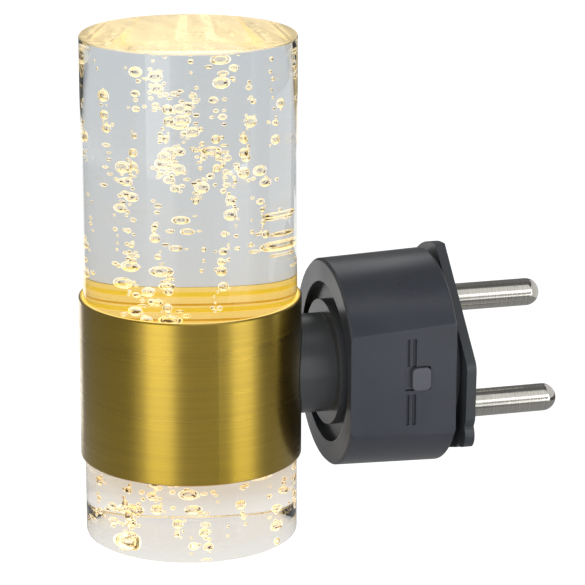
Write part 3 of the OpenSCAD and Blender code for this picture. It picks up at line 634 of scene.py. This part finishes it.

# Every card and flag below is a painted reflection: only glossy rays see it
# Upright curved cards: lower and upper edge, and (direction from the camera's, shade) stops
WALL_CARDS = (
    ("card_left", CARD_LOW, CARD_HIGH, ((-143, 0.17), (-60, 0.17), (-44, 0.95))),
    ("card_front", CARD_LOW, CARD_HIGH, ((-18, 0.95), (-11, 0.34), (22, 0.34))),
    ("card_front_low", CARD_LOW, EYE_LOW, ((22, 0.34), (26, 0.6), (36, 0.6), (40, 0.95))),
    ("card_front_middle", EYE_LOW, EYE_HIGH, ((22, 0.4), (30, 0.5), (60, 0.5))),
    ("card_right", CARD_LOW, CARD_HIGH, ((64, 0.95), (76, 0.12), (90, 0.08), (105, 0.12), (150, 0.12))),
    ("card_behind", EYE_LOW, BEHIND_HIGH, ((150, 0.2), (225, 0.2))),
    ("card_behind_high", BEHIND_HIGH, CARD_HIGH, ((140, 1.5), (205, 1.5))),
    ("card_corner", CARD_LOW, EYE_LOW, ((200, 1.4), (214, 1.4))),
)

# Level cards: height, inner radius, first and last direction, and shade
LEVEL_CARDS = (
    ("card_floor", CARD_LOW, 1 * MM, 0, 360, 0.35),
    ("card_floor_front", CARD_LOW + 1 * MM, 180 * MM, 20, 45, 0.08),
    ("card_top", CARD_HIGH, 1 * MM, 75, 345, 0.15),
)

# Small upright flags: two opposite corners in mm, and shade
FLAGS = (
    ("flag_behind_pins", (-60, 22, 10), (-60, 120, 200), 0.18),
    ("flag_before_plug", (60, -60, 30), (60, 20, 120), 0.05),
    ("card_before_noses", (-40, 45, -9), (30, 45, 40), 0.8),
)


def direction(turn, tilt=0.0):
    """Unit vector from the object, at an angle round it from the camera's and an angle up, in degrees."""
    azimuth, elevation = math.radians(CAMERA_AZIMUTH + turn), math.radians(tilt)
    level = math.cos(elevation)
    return Vector((math.sin(azimuth) * level, -math.cos(azimuth) * level, math.sin(elevation)))


def soft_light(name, turn, height, distance, width, tall, watts, reflects):
    """A rectangular lamp that faces the object."""
    lamp = bpy.data.lights.new(name, "AREA")
    lamp.shape = "RECTANGLE"
    lamp.size = width
    lamp.size_y = tall
    lamp.energy = watts
    holder = bpy.data.objects.new(name, lamp)
    bpy.context.scene.collection.objects.link(holder)
    holder.visible_transmission = False
    holder.visible_glossy = reflects
    holder.location = CENTRE + direction(turn) * distance + Vector((0.0, 0.0, height))
    holder.rotation_euler = (CENTRE - holder.location).to_track_quat("-Z", "Y").to_euler()


def background_rays(nodes, links):
    """1 for camera, glossy and transmitted rays, which see the plain background."""
    path = nodes.new("ShaderNodeLightPath")
    total = path.outputs["Is Camera Ray"]
    for kind in ("Is Glossy Ray", "Is Transmission Ray"):
        node = nodes.new("ShaderNodeMath")
        node.operation = "MAXIMUM"
        links.new(total, node.inputs[0])
        links.new(path.outputs[kind], node.inputs[1])
        total = node.outputs["Value"]
    return total


def make_world():
    """A plain white world: full white where it is seen, dimmer where it lights."""
    world = bpy.data.worlds.new("studio")
    world.use_nodes = True
    bpy.context.scene.world = world
    nodes, links = world.node_tree.nodes, world.node_tree.links
    seen, light = nodes["Background"], nodes.new("ShaderNodeBackground")
    for shader, strength in ((seen, 1.0), (light, WORLD_LIGHT)):
        shader.inputs["Color"].default_value = (*WHITE, 1.0)
        shader.inputs["Strength"].default_value = strength
    mix = nodes.new("ShaderNodeMixShader")
    links.new(background_rays(nodes, links), mix.inputs["Fac"])
    links.new(light.outputs["Background"], mix.inputs[1])
    links.new(seen.outputs["Background"], mix.inputs[2])
    links.new(mix.outputs["Shader"], nodes["World Output"].inputs["Surface"])


def make_floor():
    """A wide pale floor that meets the background without an edge and still takes a shadow."""
    bm = bmesh.new()
    bmesh.ops.create_grid(bm, x_segments=1, y_segments=1, size=FLOOR_SIZE / 2)
    floor = bpy.data.objects.new("floor", finish_mesh("floor", bm))
    floor.location = (0.0, 0.0, FLOOR_HEIGHT)
    bpy.context.scene.collection.objects.link(floor)
    finish = Finish("pale_floor", FLOOR_GREY, 0.9)
    finish.set("Emission Color", (*WHITE, 1.0))
    fill = finish.maths("MULTIPLY", background_rays(finish.nodes, finish.links), FLOOR_FILL)
    finish.link(fill, "Emission Strength")
    floor.data.materials.append(finish.material)


def card_paint():
    """The emitted grey of the cards and flags, painted on their corners, which only reflections show."""
    finish = Finish("card_paint", (0.0, 0.0, 0.0), 1.0)
    shade = finish.nodes.new("ShaderNodeAttribute")
    shade.attribute_name = "shade"
    finish.link(shade.outputs["Color"], "Emission Color")
    finish.set("Emission Strength", 1.0)
    return finish.material


def card(name, rows, paint):
    """A photographer's card that only reflections see, from rows of corners, each a (place, shade): a
    painted reflection, which neither lights nor shades the object.
    """
    bm = bmesh.new()
    shades = bm.verts.layers.float_color.new("shade")
    grid = []
    for row in rows:
        corners = [bm.verts.new(place) for place, _ in row]
        for corner, (_, shade) in zip(corners, row):
            corner[shades] = (shade, shade, shade, 1.0)
        grid.append(corners)
    for first, second in zip(grid, grid[1:]):
        for step in range(len(first) - 1):
            bm.faces.new((first[step], second[step], second[step + 1], first[step + 1]))
    piece = bpy.data.objects.new(name, finish_mesh(name, bm))
    bpy.context.scene.collection.objects.link(piece)
    piece.data.materials.append(paint)
    piece.visible_camera = False
    piece.visible_diffuse = False
    piece.visible_transmission = False
    piece.visible_shadow = False


def shade_at(stops, turn):
    """The shade at a direction, in a straight line between its two stops."""
    for (first, low), (second, high) in zip(stops, stops[1:]):
        if turn <= second:
            return low + (high - low) * (turn - first) / (second - first)
    return stops[-1][1]


def curved_card(name, edges, stops, paint):
    """A card between two edges of (radius, height) round the object. Its shade follows the stops."""
    start, end = stops[0][0], stops[-1][0]
    rows = []
    for step in range(CARD_STEPS + 1):
        turn = start + (end - start) * step / CARD_STEPS
        shade = shade_at(stops, turn)
        row = []
        for radius, height in edges:
            place = CENTRE + direction(turn) * radius
            row.append((Vector((place.x, place.y, height)), shade))
        rows.append(row)
    card(name, rows, paint)


def flag(name, low, high, shade, paint):
    """A small upright rectangle between two opposite corners."""
    rows = [[Vector((x, y, z)) * MM for z in (low[2], high[2])] for x, y in (low[:2], high[:2])]
    card(name, [[(place, shade) for place in row] for row in rows], paint)


def make_studio():
    """The world, the floor, the cards round the object and the lamps."""
    make_world()
    make_floor()
    paint = card_paint()
    for name, low, high, stops in WALL_CARDS:
        curved_card(name, ((CARD_RADIUS, low), (CARD_RADIUS, high)), stops, paint)
    for name, height, inner, start, end, shade in LEVEL_CARDS:
        curved_card(name, ((inner, height), (CARD_RADIUS, height)), ((start, shade), (end, shade)), paint)
    for name, low, high, shade in FLAGS:
        flag(name, low, high, shade, paint)
    for lamp in LAMPS:
        soft_light(*lamp)


def make_camera():
    """The photograph's camera: its direction, roll, distance and focal length."""
    back = direction(0.0, CAMERA_ELEVATION)
    azimuth, roll = math.radians(CAMERA_AZIMUTH), math.radians(CAMERA_ROLL)
    right = Vector((math.cos(azimuth), math.sin(azimuth), 0.0))
    up = back.cross(right)
    rolled_right = right * math.cos(roll) - up * math.sin(roll)
    rolled_up = right * math.sin(roll) + up * math.cos(roll)
    data = bpy.data.cameras.new("camera")
    data.sensor_width = SENSOR_MM
    data.sensor_fit = "HORIZONTAL"
    data.lens = FOCAL_PX * SENSOR_MM / FRAME_PX
    data.clip_start = CLIP_START
    camera = bpy.data.objects.new("camera", data)
    bpy.context.scene.collection.objects.link(camera)
    axes = Matrix((rolled_right, rolled_up, back)).transposed()
    place = CAMERA_AIM + axes @ Vector((CAMERA_SLIDE.x, CAMERA_SLIDE.y, CAMERA_DISTANCE))
    camera.matrix_world = Matrix.Translation(place) @ axes.to_4x4()
    bpy.context.scene.camera = camera


make_studio()
make_camera()
bpy.context.scene.view_settings.view_transform = "Standard"
